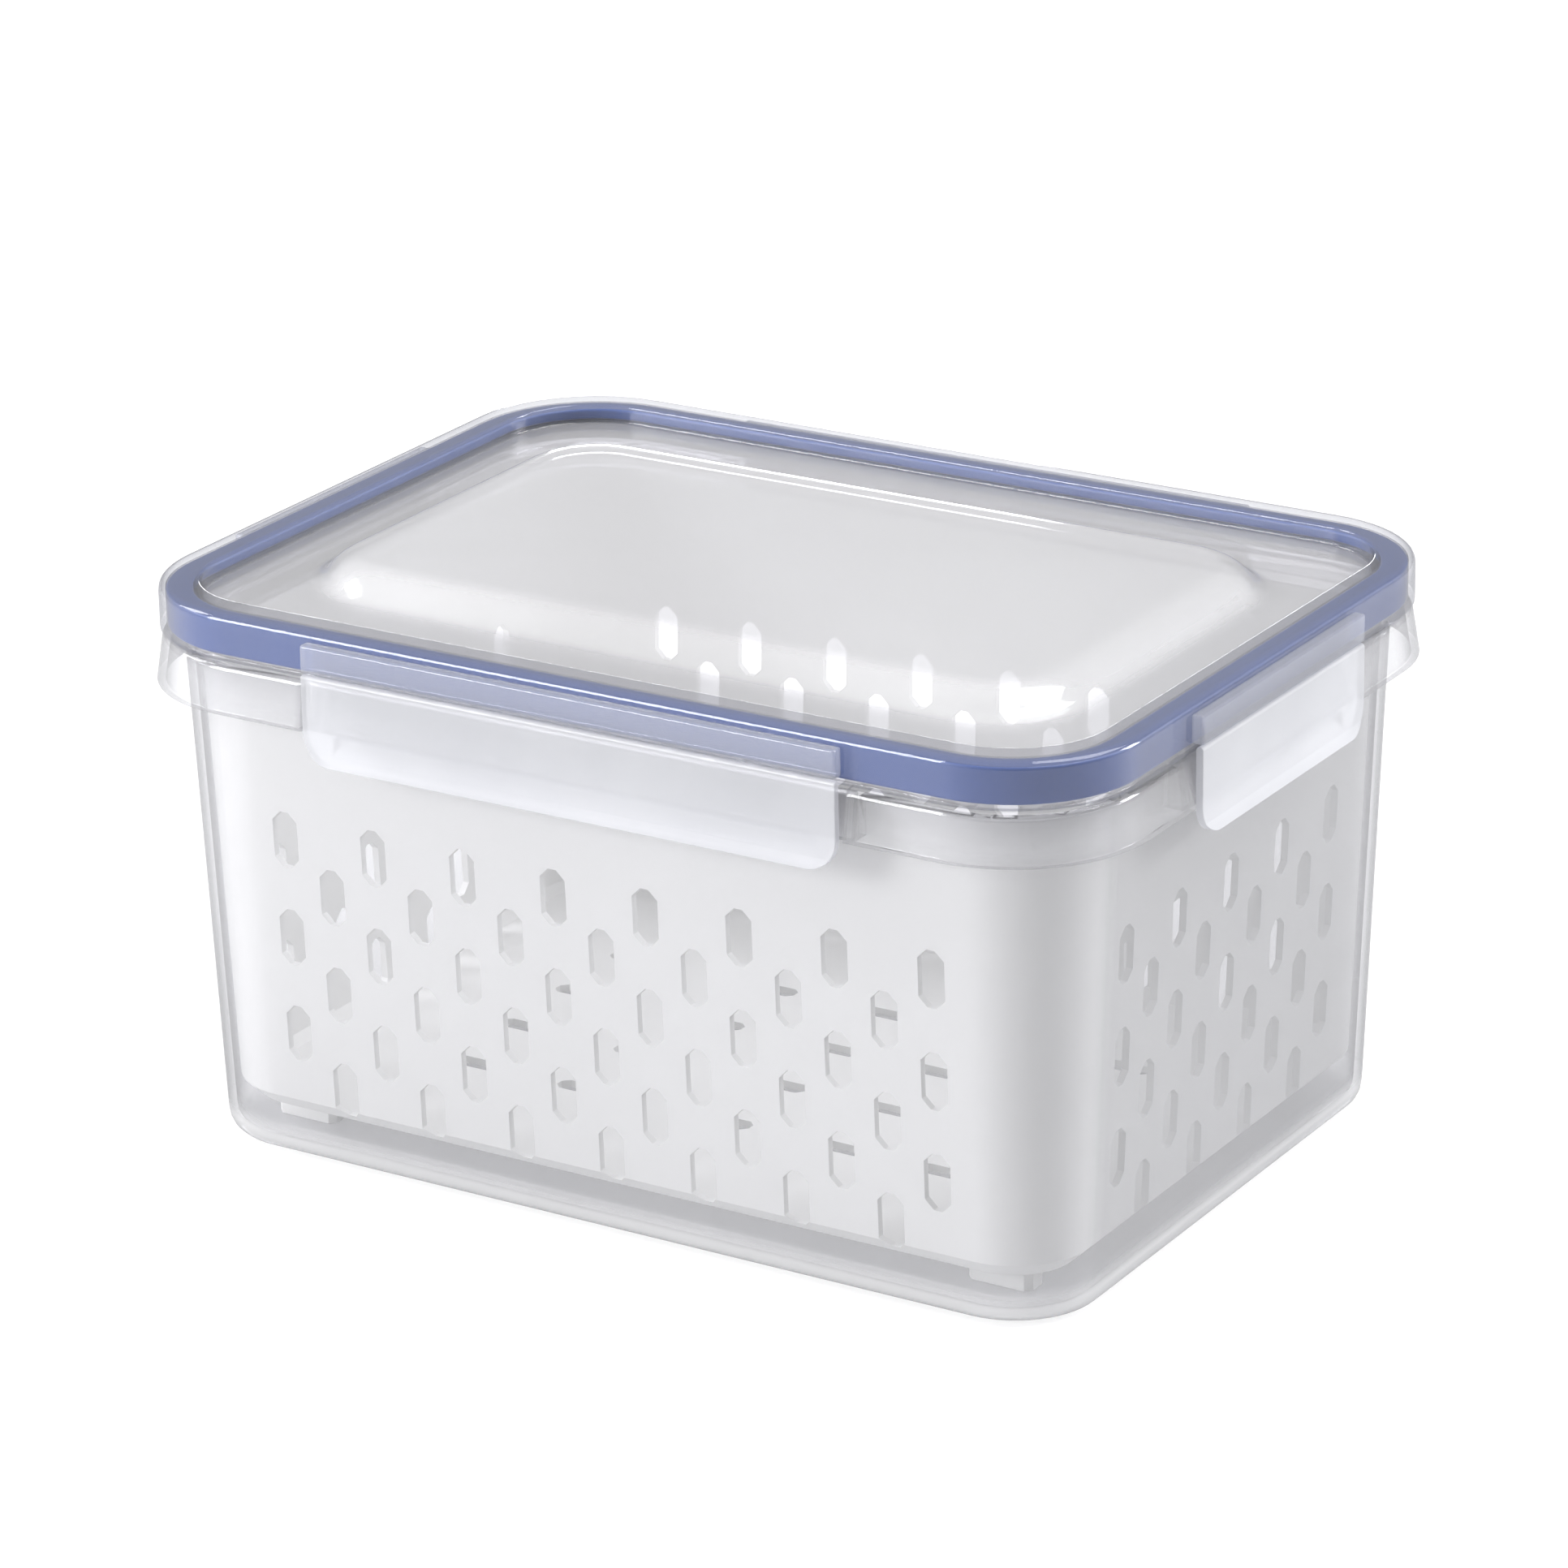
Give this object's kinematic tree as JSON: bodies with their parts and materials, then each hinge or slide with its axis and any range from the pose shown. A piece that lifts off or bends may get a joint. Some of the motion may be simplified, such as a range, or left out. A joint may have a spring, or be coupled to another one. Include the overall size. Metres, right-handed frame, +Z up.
{
  "type": "produce keeper",
  "caption": "Clear rectangular food box with a slotted draining basket inside, a sealed clear lid and fold-down side latches.",
  "frame": {"origin": "middle of the tub's underside, where the keeper stands on a surface", "axes": "+X along the length, +Y to the back, +Z up"},
  "size_m": [0.254, 0.1888, 0.1362],
  "materials": {
    "clear_tub": "clear, polished",
    "clear_lid": "clear, polished",
    "frosted_latch": "translucent, satin",
    "white_basket": "white, satin",
    "blue_seal": "soft blue seal"
  },
  "bodies": {
    "container": {"container": "clear_tub"},
    "basket": {"strainer_basket": "white_basket"},
    "lid": {"lid": "clear_lid", "lid_seal": "blue_seal"},
    "latch_front": {"latch_front": "frosted_latch"},
    "latch_back": {"latch_back": "frosted_latch"},
    "latch_left": {"latch_left": "frosted_latch"},
    "latch_right": {"latch_right": "frosted_latch"}
  },
  "joints": [
    {"name": "basket_lift", "type": "slide", "parent": "container", "child": "basket", "axis": [0, 0, 1], "range_m": [0, 0.13]},
    {"name": "lid_lift", "type": "slide", "parent": "basket", "child": "lid", "axis": [0, 0, 1], "range_m": [0, 0.1]},
    {"name": "latch_front_hinge", "type": "hinge", "parent": "lid", "child": "latch_front", "pos_m": [0, -0.0927, 0.1232], "axis": [-1, 0, 0], "range_deg": [0, 120]},
    {"name": "latch_right_hinge", "type": "hinge", "parent": "lid", "child": "latch_right", "pos_m": [0.1253, 0, 0.1232], "axis": [0, -1, 0], "range_deg": [0, 120]},
    {"name": "latch_back_hinge", "type": "hinge", "parent": "lid", "child": "latch_back", "pos_m": [0, 0.0927, 0.1232], "axis": [1, 0, 0], "range_deg": [0, 120]},
    {"name": "latch_left_hinge", "type": "hinge", "parent": "lid", "child": "latch_left", "pos_m": [-0.1253, 0, 0.1232], "axis": [0, 1, 0], "range_deg": [0, 120]}
  ]
}
